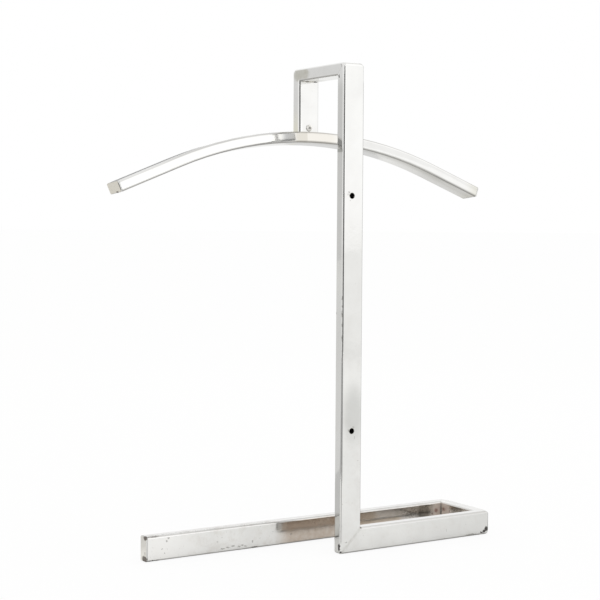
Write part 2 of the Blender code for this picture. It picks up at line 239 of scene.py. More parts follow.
SCUFFS = (
    # marks of screw heads round the two wall holes
    ((-6.7, 0.0, 118.6), (0.9, 1.0, 1.8)),
    ((-5.2, 0.0, 121.2), (1.7, 1.0, 0.9)),
    ((-4.2, 0.0, 112.8), (0.9, 1.0, 0.9)),
    ((2.2, 0.0, -113.6), (1.9, 1.0, 0.9)),
    ((-4.0, 0.0, -117.0), (0.9, 1.0, 2.0)),
    ((3.5, 0.0, -124.2), (0.6, 1.0, 1.8)),
    # rubbed low edge of the foot bar, and a painted shade line along the top edge of the rail's free end
    ((154.0, 0.2, -239.0), (11.0, 1.5, 0.8)),
    ((-186.5, 69.4, -216.5), (10.0, 1.7, 1.2)),
    # faint specks on the rail, near its free end and along its middle
    ((-169.9, 68.5, -219.5), (1.5, 2.0, 1.1)),
    ((-172.0, 68.5, -222.4), (0.9, 2.0, 1.5)),
    ((-177.1, 68.5, -229.6), (1.0, 2.0, 1.0)),
    ((-174.4, 68.5, -233.9), (0.9, 2.0, 0.9)),
    ((-109.0, 68.5, -237.2), (3.2, 2.0, 0.9)),
    ((-103.0, 68.5, -236.5), (2.4, 2.0, 0.9)),
    ((-97.0, 68.5, -235.8), (2.6, 2.0, 1.0)),
    ((-89.8, 68.5, -237.0), (2.6, 2.0, 0.9)),
    ((-85.8, 68.5, -236.2), (2.2, 2.0, 0.9)),
    ((-82.4, 68.5, -237.4), (2.0, 2.0, 0.9)),
    ((-74.2, 68.5, -233.8), (0.9, 2.0, 1.8)),
    ((-28.0, 68.5, -231.1), (1.3, 2.0, 1.0)),
    # scratch on the foot bar and a stroke beside the mitre
    ((121.7, 0.0, -230.6), (0.4, 1.0, 2.3)),
    ((-6.1, 0.0, -229.4), (2.2, 1.0, 0.7)),
    # pitted stretch of the post's left edge, at half its height
    ((-12.0, 0.7, 16.0), (0.9, 1.0, 3.4)),
    ((-11.7, 0.5, 7.5), (0.8, 0.9, 2.2)),
    ((-12.2, 1.1, 0.0), (1.0, 1.2, 4.6)),
    ((-11.8, 0.6, -11.0), (0.9, 1.0, 2.4)),
    ((-12.1, 0.9, -24.0), (0.8, 1.0, 4.4)),
    ((-12.5, 10.9, 0.6), (1.5, 1.8, 1.6)),
)
print(len(CHIPS), "chips and", len(SCUFFS), "scuffs")

# %% [markdown]
# ## Films on chromium plating
#
# The tube is mild steel, plated with nickel and a thin coat of chromium and then buffed. Chromium has
# hardly any colour, so most of what the eye gets is the room, broken by three things that age adds: cloudy
# films, chips that show dark steel, and a brown tarnish on the inner faces that nobody wipes. Many films are
# painted light instead: painted shade and painted highlights that stand for darker and brighter parts of the
# mirrored room, and the tarnish is partly painted shade. A mirror with one flat colour looks like computer
# chrome, so each of these gets its own mask. A film is a mask, the share of it that shows and a colour, and
# films are laid one over the other as on the real tube.

# %% Readings of the surface, and the laying of films
CLOUD_SIZE = 26
BLOTCH_SIZE = 5


def read_surface(tree):
    """Gather what the films ask of a point: its place, the way it faces, and two noises of wiping."""
    place = place_on_rack(tree)
    x, y, z = add_node(tree, "ShaderNodeSeparateXYZ", {0: place}).outputs
    normal = add_node(tree, "ShaderNodeNewGeometry").outputs["Normal"]
    faces_right, _, faces_up = add_node(tree, "ShaderNodeSeparateXYZ", {0: normal}).outputs
    clouds = add_node(tree, "ShaderNodeTexNoise", {
        "Vector": place, "Scale": 1 / CLOUD_SIZE, "Detail": 4.0, "Roughness": 0.55,
    }).outputs["Fac"]
    blotches = add_node(tree, "ShaderNodeTexNoise", {
        "Vector": place, "Scale": 1 / BLOTCH_SIZE, "Detail": 3.0, "Roughness": 0.6,
    }).outputs["Fac"]
    patchy = add_node(tree, "ShaderNodeMapRange", {
        "Value": blotches, "From Min": 0.25, "From Max": 0.7, "To Min": 0.6, "To Max": 1.0,
    }).outputs[0]
    return SimpleNamespace(
        place=place, ragged=ragged_place(tree, place), x=x, y=y, z=z,
        normal=normal, faces_right=faces_right, faces_up=faces_up,
        clouds=clouds, blotches=blotches, patchy=patchy,
    )


def lay_films(tree, colour, films):
    """Lay films over a colour. Each is a mask, the share of it that shows, and its own colour."""
    for mask, amount, film in films:
        share = add_node(tree, "ShaderNodeMath", {0: mask, 1: amount}, operation='MULTIPLY').outputs[0]
        colour = add_node(tree, "ShaderNodeMix", {
            0: share, 6: colour, 7: linear(film),
        }, data_type='RGBA').outputs[2]
    return colour


print("clouds of %d mm and blotches of %d mm" % (CLOUD_SIZE, BLOTCH_SIZE))

# %% [markdown]
# ## Films of wiping, and painted shade
#
# The wall side shows most, and it was wiped for years, which leaves broad clouds. The foot bar's front face
# is painted darker towards its end, a painted shade, and the mitre at the post's foot holds dirt. A darker
# arc is painted where the post's top corner was ground round: painted shade on the rounding. The mitre runs
# at
# 45 degrees, so x minus z measures the way across it, and the arc is a band of distances from its middle. A
# painted image would blur up close, and these don't.

# %% Films of wiping, and painted shade
ARC_MIDDLE = (5.5, 0.0, 242.0)


def wiping_films_and_shade(tree, at):
    """Clouds, painted shade towards the foot bar's end, dirt in the mitre and painted shade on the ground
    corner.
    """
    # painted shade: the foot bar's front face grows darker towards its end
    painted_foot_end_shade = combine(tree, 'MULTIPLY', [
        soft_band(tree, at.x, rise=(20.0, 180.0)),
        soft_band(tree, at.y, fall=(1.0, 4.0)),
    ])
    across_mitre = add_node(tree, "ShaderNodeMath", {0: at.x, 1: at.z}, operation='SUBTRACT').outputs[0]
    mitre = combine(tree, 'MULTIPLY', [
        soft_band(tree, across_mitre, rise=(224.8, 227.6), fall=(229.4, 232.2)),
        soft_band(tree, at.y, fall=(1.0, 2.0)),
        soft_band(tree, at.blotches, rise=(0.35, 0.55)),
    ])
    from_middle = add_node(tree, "ShaderNodeVectorMath", {
        0: at.place, 1: ARC_MIDDLE,
    }, operation='SUBTRACT').outputs[0]
    in_plane = add_node(tree, "ShaderNodeVectorMath", {
        0: from_middle, 1: (1.0, 0.0, 1.0),
    }, operation='MULTIPLY').outputs[0]
    arc_reach = add_node(tree, "ShaderNodeVectorMath", {0: in_plane}, operation='LENGTH').outputs["Value"]
    # painted shade: a darker arc on the rounding of the ground corner
    ground = combine(tree, 'MULTIPLY', [
        soft_band(tree, arc_reach, rise=(5.5, 6.6), fall=(8.3, 9.3)),
        soft_band(tree, at.x, rise=(4.0, 8.0)),
        soft_band(tree, at.z, rise=(240.0, 243.0)),
        soft_band(tree, at.y, fall=(3.0, 5.0)),
    ])
    return [
        (at.clouds, 0.75, "#DAD9D7"),
        (painted_foot_end_shade, 0.26, "#B4B4B2"),
        (mitre, 0.2, "#8F8A7C"),
        (ground, 0.35, "#A9ABA8"),
    ]


print("corner ground round about (%.1f, %.1f, %.1f) mm" % ARC_MIDDLE)

# %% [markdown]
# ## Stains and pits, and painted light
#
# Splashes dry into stains with clear outlines, and damp eats pits. Both sit mostly low down, so their noise
# is thinned with height. The rail's free end is painted brighter, a painted highlight, and a patch low on the
# post's wall side is painted darker, a painted shade. Noise with a steep rise gives outlines, while a gentle
# rise would only give clouds.

# %% Stains and pits, and painted light
STAIN_SIZE = 11
PIT_SIZE = 2.4


def stain_films_and_light(tree, at):
    """Stains, a painted highlight on the rail's free end, fine pits and a painted shade on the post."""
    lowness = add_node(tree, "ShaderNodeMapRange", {
        "Value": at.z, "From Min": -160.0, "From Max": 40.0, "To Min": 1.0, "To Max": 0.2,
    }).outputs[0]
    roominess = add_node(tree, "ShaderNodeMapRange", {
        "Value": at.y, "From Min": 20.0, "From Max": 60.0, "To Min": 0.4, "To Max": 1.0,
    }).outputs[0]
    stain_noise = add_node(tree, "ShaderNodeTexNoise", {
        "Vector": at.place, "Scale": 1 / STAIN_SIZE, "Detail": 6.0, "Roughness": 0.7,
    }).outputs["Fac"]
    stains = combine(tree, 'MULTIPLY', [
        soft_band(tree, stain_noise, rise=(0.44, 0.68)), lowness, roominess,
    ])
    # painted highlight: the rail's free end is painted brighter
    painted_bright_end = combine(tree, 'MULTIPLY', [
        soft_band(tree, at.x, fall=(-180.0, -110.0)),
        soft_band(tree, at.y, rise=(60.0, 61.0), fall=(69.0, 71.0)),
        soft_band(tree, at.z, fall=(-210.0, -205.0)),
    ])
    pit_noise = add_node(tree, "ShaderNodeTexNoise", {
        "Vector": at.place, "Scale": 1 / PIT_SIZE, "Detail": 2.0, "Roughness": 0.5,
    }).outputs["Fac"]
    pits = combine(tree, 'MULTIPLY', [soft_band(tree, pit_noise, rise=(0.7, 0.74)), lowness])
    # painted shade: a darker patch low on the post's wall side
    painted_post_shade = worn_spot(tree, at.ragged, (2.0, 0.0, -100.0), (18.0, 2.0, 42.0), 0.7)
    return [
        (stains, 0.28, "#BDB5AB"),
        (painted_bright_end, 0.85, "#F6F5F3"),
        (pits, 0.45, "#7A736A"),
        (painted_post_shade, 0.4, "#A9ABA8"),
    ]


print("stains of %d mm and pits of %.1f mm" % (STAIN_SIZE, PIT_SIZE))

# %% [markdown]
# ## Tarnish and painted shade inside the foot loop
#
# No cloth reaches the inner faces of the loop, so they turned brown. The brown is partly painted shade,
# deepest beside the post, where the loop's mirrored inside is darkest. Below the loop's rim a dark band is
# painted shade, its lower half carries a painted reflection of the shaded floor, and a dark streak where the
# tarnish starts on the rail is a painted reflection too. The inner faces lie between two values of y and
# below the rim, so no other mask is needed.

# %% Tarnish and painted shade inside the foot loop
def tarnish_films(tree, at):
    """Tarnish and painted shade, a painted dark streak, painted rim shade and a painted low reflection. It
    keeps two masks in at: in_loop and tarnish.
    """
    at.in_loop = combine(tree, 'MULTIPLY', [
        soft_band(tree, at.y, rise=(12.1, 12.4), fall=(68.6, 68.9)),
        soft_band(tree, at.z, fall=(-218.6, -216.6)),
    ])
    # painted shade: the brown deepens towards the post
    nearness = add_node(tree, "ShaderNodeMapRange", {
        "Value": at.x, "From Min": 20.0, "From Max": 90.0, "To Min": 1.0, "To Max": 0.4,
    }).outputs[0]
    loop_start = soft_band(tree, at.x, rise=(-50.0, -27.0), fall=(170.0, 171.0))
    at.tarnish = combine(tree, 'MULTIPLY', [at.in_loop, nearness, at.patchy, loop_start])
    # painted reflection: a dark streak where the tarnish starts on the rail
    painted_dark_streak = combine(tree, 'MULTIPLY', [
        soft_band(tree, at.x, rise=(-47.4, -45.6), fall=(-41.0, -36.0)),
        soft_band(tree, at.y, rise=(60.0, 61.0), fall=(68.6, 68.9)),
        soft_band(tree, at.z, rise=(-225.6, -224.4), fall=(-218.6, -217.0)),
    ])
    beside_post = soft_band(tree, at.x, rise=(50.0, 56.0), fall=(106.0, 118.0))
    # painted shade: a dark band below the loop's rim, beside the post
    painted_loop_rim_shade = combine(tree, 'MULTIPLY', [
        at.in_loop, beside_post, soft_band(tree, at.z, rise=(-226.5, -219.0)),
    ])
    # painted reflection of the shaded floor on the lower half, beside the post
    painted_low_reflection = combine(tree, 'MULTIPLY', [
        at.in_loop, beside_post, soft_band(tree, at.z, fall=(-228.0, -226.0)),
    ])
    return [
        (at.tarnish, 1.0, "#C4B6A8"),
        (painted_dark_streak, 0.3, "#3A342E"),
        (painted_loop_rim_shade, 0.23, "#2E2925"),
        (painted_low_reflection, 0.48, "#B39A79"),
    ]


print("tarnish inside the loop")

# %% [markdown]
# ## Rust and painted reflection in the loop's far corner
#
# Damp stays longest in the far corner: a pale dry bloom, a few red spots and a dark line in the corner
# itself.
# Beside them an olive patch and a mottled one are painted reflection: they stand for the dark streaks that
# the loop mirrors there. They are ovals with ragged edges, because rust spreads from a point. The bloom is a
# powder and no longer bright metal, so its mask is used again for that.

# %% Rust and painted reflection in the loop's far corner
SPECK_SIZE = 2.0


def corner_rust_and_reflection(tree, at):
    """Painted mottled and olive reflections, bloom and rust. It keeps two masks in at: bloom and corner_line.
    """
    specks = add_node(tree, "ShaderNodeTexNoise", {
        "Vector": at.place, "Scale": 1 / SPECK_SIZE, "Detail": 2.0,
    }).outputs["Fac"]
    # painted reflection: mottled dark streaks mirrored on the rail's inner face
    painted_mottled_reflection = combine(tree, 'MULTIPLY', [
        worn_spot(tree, at.ragged, (129.0, 68.5, -225.0), (20.0, 3.0, 9.0), 0.6),
        soft_band(tree, specks, rise=(0.42, 0.56)),
    ])
    # painted shade: a dark olive patch where the loop mirrors dark streaks
    painted_olive_reflection = combine(tree, 'MULTIPLY', [
        at.in_loop, worn_spot(tree, at.ragged, (144.0, 68.5, -226.0), (10.0, 5.0, 24.0), 0.5),
    ])
    near_corner = combine(tree, 'MAXIMUM', [
        worn_spot(tree, at.ragged, (168.0, 68.5, -226.0), (16.0, 5.0, 22.0), 0.5),
        worn_spot(tree, at.ragged, (167.5, 69.0, -226.0), (5.0, 20.0, 22.0), 0.4),
    ])
    at.bloom = combine(tree, 'MULTIPLY', [near_corner, at.in_loop])
    rust = combine(tree, 'MAXIMUM', [
        worn_spot(tree, at.ragged, (161.0, 68.5, -225.5), (3.4, 3.0, 3.4), 0.7),
        worn_spot(tree, at.ragged, (155.5, 68.5, -228.5), (1.8, 3.0, 1.6), 0.7),
        worn_spot(tree, at.ragged, (167.5, 64.0, -224.0), (3.0, 4.0, 3.4), 0.9),
    ])
    at.corner_line = worn_spot(tree, at.place, (167.5, 68.5, -228.0), (1.4, 2.0, 14.0), 0.5)
    return [
        (painted_mottled_reflection, 0.45, "#77706A"),
        (painted_olive_reflection, 0.55, "#6E675A"),
        (at.bloom, 0.72, "#D0C2B7"),
        (rust, 0.7, "#7A4A40"),
    ]


print("specks of %.1f mm in the corner" % SPECK_SIZE)

# %% [markdown]
# ## Films and painted shade on the post, the stem and the top bar
#
# The narrow left sides of stem and top bar were handled rather than wiped: the stem took a cream film,
# and the top bar an olive patch at its end. The post's left side is painted a darker grey, a painted shade,
# with a darker painted reflection at the hanger's height. The back of the post faces the hanger and is seen
# mirrored in it, so it is painted grey too: a painted shade that darkens its reflection in the hanger.

# %% Films and painted shade on the post, the stem and the top bar
def upright_films_and_shade(tree, at):
    """Painted shade on the back and the left side of the post, and films on the left sides of stem and top
    bar.
    """
    # painted shade: the post's back is greyed, so that the hanger mirrors it darker
    painted_back_shade = combine(tree, 'MULTIPLY', [
        soft_band(tree, at.x, rise=(-8.5, 0.5), fall=(12.4, 12.6)),
        soft_band(tree, at.y, rise=(12.2, 12.4), fall=(12.6, 12.8)),
        soft_band(tree, at.z, rise=(-214.0, -190.0), fall=(225.0, 234.0)),
    ])
    left_side = soft_band(tree, at.x, rise=(-20.0, -19.0), fall=(-12.4, -12.1))
    post_left = combine(tree, 'MULTIPLY', [left_side, soft_band(tree, at.y, fall=(12.0, 12.6))])
    # painted shade: the post's left side is painted a darker grey
    painted_side_shade = combine(tree, 'MULTIPLY', [post_left, soft_band(tree, at.z, fall=(222.0, 238.0))])
    # painted reflection: a darker patch on the post's left side at the hanger's height
    painted_reflection_patch = combine(tree, 'MULTIPLY', [
        post_left, soft_band(tree, at.z, rise=(160.0, 161.2), fall=(163.2, 164.8)),
    ])
    stem_film = combine(tree, 'MULTIPLY', [
        left_side,
        soft_band(tree, at.y, rise=(83.5, 85.0), fall=(94.0, 96.0)),
        soft_band(tree, at.z, rise=(150.0, 155.0), fall=(180.0, 216.0)),
    ])
    bar_film = combine(tree, 'MULTIPLY', [
        left_side, at.patchy, worn_spot(tree, at.ragged, (-12.5, 78.0, 242.5), (3.0, 17.0, 9.0), 0.35),
    ])
    return [
        (painted_back_shade, 0.85, "#AAABAC"),
        (painted_side_shade, 0.38, "#B4B4B0"),
        (painted_reflection_patch, 0.45, "#6E706A"),
        (stem_film, 0.6, "#EDE9D0"),
        (bar_film, 0.58, "#A8A48F"),
    ]


print("films on post, stem and top bar")

# %% [markdown]
# ## Films on the hanger, and painted shade along the edges
#
# Hands leave a cream film on the hanger's front, before the stem, and a dull one at its right end. The
# hanger's underside is painted darker in streaks, and the rounded edges of the tubes carry painted dark
# lines, lower
# edges more than upper ones: painted shade for the darker room these edges mirror. An edge needs no place of
# its own: it is where the normal points between up or down and the side.

# %% Films on the hanger, and painted shade along the edges
STREAK_WAVES = (1 / 60, 1 / 8, 1 / 60)


def hanger_films(tree, at):
    """Cream film with its darker step, and the dull end of the right arm."""
    cream = worn_spot(tree, at.place, (4.0, 76.0, 178.5), (38.0, 5.0, 14.0), 0.5)
    cream_step = combine(tree, 'MULTIPLY', [
        cream, soft_band(tree, at.x, rise=(-20.4, -18.6), fall=(-6.2, -5.2)),
    ])
    arm_end = combine(tree, 'MULTIPLY', [
        soft_band(tree, at.x, rise=(196.0, 216.0)),
        soft_band(tree, at.z, rise=(50.0, 60.0)),
    ])
    return [
        (cream, 0.8, "#D9D5CD"),
        (cream_step, 0.6, "#C4C0B6"),
        (arm_end, 0.5, "#CFCDBE"),
    ]


def painted_edge_shade(tree, at):
    """Painted shade along lower edges, in streaks under the hanger, and more lightly along upper edges."""
    # painted shade: dark lines on downward-facing rounded edges
    painted_low_edge_shade = soft_band(tree, at.faces_up, rise=(-0.99, -0.86), fall=(-0.55, -0.2))
    drawn = add_node(tree, "ShaderNodeVectorMath", {
        0: at.place, 1: STREAK_WAVES,
    }, operation='MULTIPLY').outputs[0]
    streaks = add_node(tree, "ShaderNodeTexNoise", {
        "Vector": drawn, "Scale": 1.0, "Detail": 3.0,
    }).outputs["Fac"]
    # painted shade: the hanger's underside darkened in streaks
    under = combine(tree, 'MULTIPLY', [
        soft_band(tree, at.faces_up, fall=(-0.92, -0.86)),
        soft_band(tree, at.z, rise=(50.0, 60.0)),
        soft_band(tree, at.y, rise=(60.0, 62.0), fall=(74.0, 90.0)),
        soft_band(tree, streaks, rise=(0.3, 0.6)),
    ])
    upper = soft_band(tree, at.faces_up, rise=(0.25, 0.5), fall=(0.9, 0.99))
    # painted shade: dark lines on the upper edges of the low tubes
    painted_top_edge_shade = combine(tree, 'MULTIPLY', [
        upper,
        soft_band(tree, at.z, fall=(200.0, 215.0)),
        soft_band(tree, at.faces_right, rise=(-0.15, -0.07), fall=(0.4, 0.5)),
    ])
    # painted shade: darker upper edges on the hanger's left arm
    painted_arm_top_shade = combine(tree, 'MULTIPLY', [
        upper,
        soft_band(tree, at.x, rise=(-180.0, -155.0), fall=(-95.0, -72.0)),
        soft_band(tree, at.z, rise=(50.0, 60.0)),
    ])
    return [
        (painted_low_edge_shade, 0.62, "#8C8984"),
        (under, 0.5, "#8C8A7E"),
        (painted_top_edge_shade, 0.35, "#8C8984"),
        (painted_arm_top_shade, 0.26, "#8C8984"),
    ]


print("streaks under the hanger are %d mm long" % round(1 / STREAK_WAVES[0]))

# %% [markdown]
# ## Scuffs, chips, bare bores and painted shade
#
# Last come the spots from the table. A scuff lies thinly on the plating: most are dirt, and one is a painted
# shade line along the top edge of the rail's free end. A chip goes through to dark steel, and one under the
# rail's free end is a painted contact shadow. The bores of the screw holes are bare steel, and the inside of
# the post seen through them is painted as dark, a painted shade. The line in the loop's corner is as dark, so
# the three become one mask, which later makes them rough and less of a mirror too.

# %% Scuffs, chips, bare bores and painted shade
SCUFF_EDGE = 0.6
CHIP_EDGE = 0.35


def spot_films_and_shade(tree, at):
    """Scuffs and bare steel, with painted shade inside the post. It keeps two masks in at: chips and dark."""
    scuffs = combine(tree, 'MAXIMUM', [worn_spot(tree, at.ragged, *scuff, SCUFF_EDGE) for scuff in SCUFFS])
    at.chips = combine(tree, 'MAXIMUM', [worn_spot(tree, at.ragged, *chip, CHIP_EDGE) for chip in CHIPS])
    # bare steel in the hole walls, and painted shade on the post's inside
    bore_and_inner_shade = combine(tree, 'MULTIPLY', [
        soft_band(tree, at.x, rise=(-12.0, -11.4), fall=(11.4, 12.0)),
        soft_band(tree, at.y, rise=(0.3, 0.6), fall=(11.9, 12.2)),
        soft_band(tree, at.z, rise=(-232.0, -228.0), fall=(228.0, 232.0)),
    ])
    at.dark = combine(tree, 'MAXIMUM', [at.chips, bore_and_inner_shade, at.corner_line])
    return [
        (scuffs, 0.6, "#77736D"),
        (at.dark, 0.95, "#2E2925"),
    ]


print(len(CHIPS) + len(SCUFFS), "worn spots on the tubes")

# %% [markdown]
# ## Chromium plating
#
# The films are now laid on bright chromium, one family after the other. The blotches also dull the
# mirror a little, tarnish and bare steel dull it more, and buffing leaves a slight swell. The hanger and
# the rail are a few degrees out of true, which a mirror shows long before a ruler does. Their plating
# leans its normals by that much, because the solids themselves are straight.

# %% Chromium plating
FILM_FAMILIES = (
    wiping_films_and_shade, stain_films_and_light, tarnish_films, corner_rust_and_reflection,
    upright_films_and_shade, hanger_films, painted_edge_shade, spot_films_and_shade,
)
TARNISH_HAZE = 0.10
BARE_HAZE = 0.45
METAL_LOST = 0.6
SWELL = 0.1 * MM
HANGER_LEAN = (-0.055, 0.0, 0.0)
RAIL_LEAN = (-0.042, 0.0, 0.0)


def plated_tube(name, lean):
    """Plating with its films and chips. Lean tips the normals of a tube that is out of true."""
    material, tree, output = new_material(name)
    at = read_surface(tree)
    films = []
    for family in FILM_FAMILIES:
        films += family(tree, at)
    colour = lay_films(tree, linear("#EFEFED"), films)

    haze = add_node(tree, "ShaderNodeMapRange", {
        "Value": at.blotches, "From Min": 0.3, "From Max": 0.7, "To Min": 0.035, "To Max": 0.085,
    }).outputs[0]
    film_haze = add_node(tree, "ShaderNodeMath", {
        0: at.tarnish, 1: TARNISH_HAZE, 2: haze,
    }, operation='MULTIPLY_ADD').outputs[0]
    roughness = add_node(tree, "ShaderNodeMath", {
        0: at.dark, 1: BARE_HAZE, 2: film_haze,
    }, operation='MULTIPLY_ADD').outputs[0]
    bare = add_node(tree, "ShaderNodeMath", {
        0: at.dark, 1: -METAL_LOST, 2: 1.0,
    }, operation='MULTIPLY_ADD').outputs[0]
    metal = add_node(tree, "ShaderNodeMath", {
        0: at.bloom, 1: -METAL_LOST, 2: bare,
    }, operation='MULTIPLY_ADD', use_clamp=True).outputs[0]

    # chips lie as deep as the swell is high
    relief = add_node(tree, "ShaderNodeMath", {0: at.clouds, 1: at.chips}, operation='SUBTRACT').outputs[0]
    bump = add_node(tree, "ShaderNodeBump", {"Strength": 1.0, "Distance": SWELL, "Height": relief})
    if lean:
        tipped = add_node(tree, "ShaderNodeVectorMath", {0: at.normal, 1: lean}, operation='ADD')
        unit = add_node(tree, "ShaderNodeVectorMath", {0: tipped.outputs[0]}, operation='NORMALIZE')
        tree.links.new(unit.outputs[0], bump.inputs["Normal"])
    shader = add_node(tree, "ShaderNodeBsdfPrincipled", {
        "Base Color": colour, "Metallic": metal, "Roughness": roughness, "Normal": bump.outputs["Normal"],
    })
    tree.links.new(shader.outputs["BSDF"], output.inputs["Surface"])
    return material


tube_chrome = plated_tube("chromium_plating", None)
hanger_chrome = plated_tube("chromium_plating_bent", HANGER_LEAN)
rail_chrome = plated_tube("chromium_plating_rail", RAIL_LEAN)
print(len(tube_chrome.node_tree.nodes), "nodes in the plating")

# %% [markdown]
# ## Plating of the end caps
#
# The caps were pressed, pushed in and plated without much buffing, so their ends are a duller, warmer grey
# than the tube, while their rims were buffed with it. The rounded rim is painted dark, a painted shade that
# stands for the dark line a rounded edge mirrors. The end, the rim and the side differ only in which way
# they face, so the normal's X part is mask enough for all three caps.

# %% Cap plating
CAP_CHIPS = (
    # brown corner, dark low corner and a slanting scratch on the rail's cap
    ((-194.4, 70.6, -217.2), (3.0, 4.0, 3.2)),
    ((-194.4, 72.4, -238.4), (3.0, 5.4, 4.0)),
    ((-194.4, 69.6, -238.4), (3.0, 1.6, 3.6)),
    ((-194.4, 71.0, -233.0), (3.0, 0.5, 2.2)),
    # dark spot under the hanger's left cap
    ((-219.6, 79.0, 118.6), (2.2, 3.0, 1.2)),
)
CAP_CHIP_EDGE = 0.4
CAP_BLOTCH_SIZE = 4
CAP_SWELL = 0.06 * MM

cap_chrome, tree, output = new_material("cap_plating")
place = place_on_rack(tree)
ragged = ragged_place(tree, place)
surface = add_node(tree, "ShaderNodeNewGeometry")
faces_x = add_node(tree, "ShaderNodeSeparateXYZ", {0: surface.outputs["Normal"]}).outputs["X"]
sideways = add_node(tree, "ShaderNodeMath", {0: faces_x}, operation='ABSOLUTE').outputs[0]
end_face = soft_band(tree, sideways, rise=(0.6, 0.85))
# painted shade: the rounded rim of each cap, picked by the way it faces
painted_rim_shade = soft_band(tree, sideways, rise=(0.38, 0.5), fall=(0.72, 0.9))
blotches = add_node(tree, "ShaderNodeTexNoise", {
    "Vector": place, "Scale": 1 / CAP_BLOTCH_SIZE, "Detail": 4.0, "Roughness": 0.6,
}).outputs["Fac"]
stained = combine(tree, 'MULTIPLY', [end_face, blotches])
height = add_node(tree, "ShaderNodeSeparateXYZ", {0: place}).outputs["Z"]
hanger_end = combine(tree, 'MULTIPLY', [end_face, soft_band(tree, height, rise=(0.0, 50.0))])
chips = combine(tree, 'MAXIMUM', [worn_spot(tree, ragged, *chip, CAP_CHIP_EDGE) for chip in CAP_CHIPS])
colour = lay_films(tree, linear("#ECECEA"), (
    (end_face, 1.0, "#EFEDE7"),
    (stained, 0.35, "#CBC6BA"),
    (hanger_end, 0.4, "#BDB5A0"),
    # painted shade in the rounded rim
    (painted_rim_shade, 0.6, "#5E564C"),
    (chips, 0.85, "#4A3F36"),
))
haze = add_node(tree, "ShaderNodeMath", {0: end_face, 1: 0.2, 2: 0.08}, operation='MULTIPLY_ADD').outputs[0]
bump = add_node(tree, "ShaderNodeBump", {"Strength": 1.0, "Distance": CAP_SWELL, "Height": blotches})
shader = add_node(tree, "ShaderNodeBsdfPrincipled", {
    "Base Color": colour, "Metallic": 1.0, "Roughness": haze, "Normal": bump.outputs["Normal"],
})
tree.links.new(shader.outputs["BSDF"], output.inputs["Surface"])
print(len(CAP_CHIPS), "chips on the caps")

# %% [markdown]
# ## Nickel on the stem screw
#
# The screw is nickel plated. Old nickel has a pale bloom, so its domed head is light and soft rather than a
# mirror. Its cross recess is painted near black, and that dark cross is what makes it read as a screw from
# afar. The cross is masked by place: along each arm, one coordinate stays within half the slot's width.

# %% Screw nickel
SLOT_HALF = 0.4
ARM_HALF = 1.3
SLOT_EDGE = 0.1
NICKEL_GRAIN = 0.8
screw_low, screw_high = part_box("stem_screw")
screw_z = (screw_low.z + screw_high.z) / 2 / MM


def strip(tree, value, middle, half):
    """Mask of a strip round a middle, with the slot's crisp edge."""
    return soft_band(
        tree, value,
        rise=(middle - half - SLOT_EDGE, middle - half),
        fall=(middle + half, middle + half + SLOT_EDGE),
    )


screw_nickel, tree, output = new_material("nickel_plated_steel")
place = place_on_rack(tree)
x, _, z = add_node(tree, "ShaderNodeSeparateXYZ", {0: place}).outputs
level_arm = combine(tree, 'MULTIPLY', [strip(tree, z, screw_z, SLOT_HALF), strip(tree, x, 0.0, ARM_HALF)])
upright_arm = combine(tree, 'MULTIPLY', [strip(tree, x, 0.0, SLOT_HALF), strip(tree, z, screw_z, ARM_HALF)])
recess = combine(tree, 'MAXIMUM', [upright_arm, level_arm])
grain = add_node(tree, "ShaderNodeTexNoise", {
    "Vector": place, "Scale": 1 / NICKEL_GRAIN, "Detail": 3.0,
}).outputs["Fac"]
colour = lay_films(tree, linear("#FDFCF8"), (
    (grain, 1.0, "#EEEBE4"),
    (recess, 1.0, "#2B2623"),
))
roughness = add_node(tree, "ShaderNodeMath", {
    0: recess, 1: 0.3, 2: 0.4,
}, operation='MULTIPLY_ADD').outputs[0]
shader = add_node(tree, "ShaderNodeBsdfPrincipled", {
    "Base Color": colour, "Metallic": 0.3, "Roughness": roughness,
})
tree.links.new(shader.outputs["BSDF"], output.inputs["Surface"])
print("screw at %.1f mm" % screw_z)

# %% [markdown]
# ## Metals of a single grain
#
# Three metals need no place of their own, only a grain between two tones. The tongue inside the stem is mild
# steel, dull from the mill. The braze in the corners is plated over, so it is a warmer, duller chromium.
# The weld bead was plated as well, but slag left black pits in it. One function serves all three, with
# the grain's size and the two tones, and a rise that is steep only for the pits.

# %% Metals of a single grain
def grained_metal(name, grain_size, detail, tones, roughness, rise=None):
    """Metal whose colour goes from one tone to the other with its grain, steeply where a rise is given."""
    material, tree, output = new_material(name)
    grain = add_node(tree, "ShaderNodeTexNoise", {
        "Vector": place_on_rack(tree), "Scale": 1 / grain_size, "Detail": detail,
    }).outputs["Fac"]
    if rise:
        grain = soft_band(tree, grain, rise=rise)
    colour = lay_films(tree, linear(tones[0]), ((grain, 1.0, tones[1]),))
    shader = add_node(tree, "ShaderNodeBsdfPrincipled", {
        "Base Color": colour, "Metallic": 1.0, "Roughness": roughness,
    })
    tree.links.new(shader.outputs["BSDF"], output.inputs["Surface"])
    return material


tongue_steel = grained_metal("mild_steel", 3, 5.0, ("#8C8983", "#6A645C"), 0.42)
braze = grained_metal("plated_braze", 1.5, 3.0, ("#E0E0DC", "#C4C1B8"), 0.2)
bead_steel = grained_metal("plated_weld_bead", 2.2, 3.0, ("#D6D2C8", "#3A332E"), 0.3, rise=(0.42, 0.5))
print("tongue, braze and bead have their metals")

# %% [markdown]
# ## Polished normals on the CAD pieces
#
# The solids arrive as flat facets. A mirror finish shows every facet, so the points are welded, all faces
# are shaded smooth except across sharp edges, and the big flat faces get the last word on the normals.
# Modifiers do this without touching the CAD mesh itself.

# %% Polished normals
SHARP_ANGLE = math.radians(40)
WELD_REACH = 0.01 * MM
FLAT_FACE_WEIGHT = 60

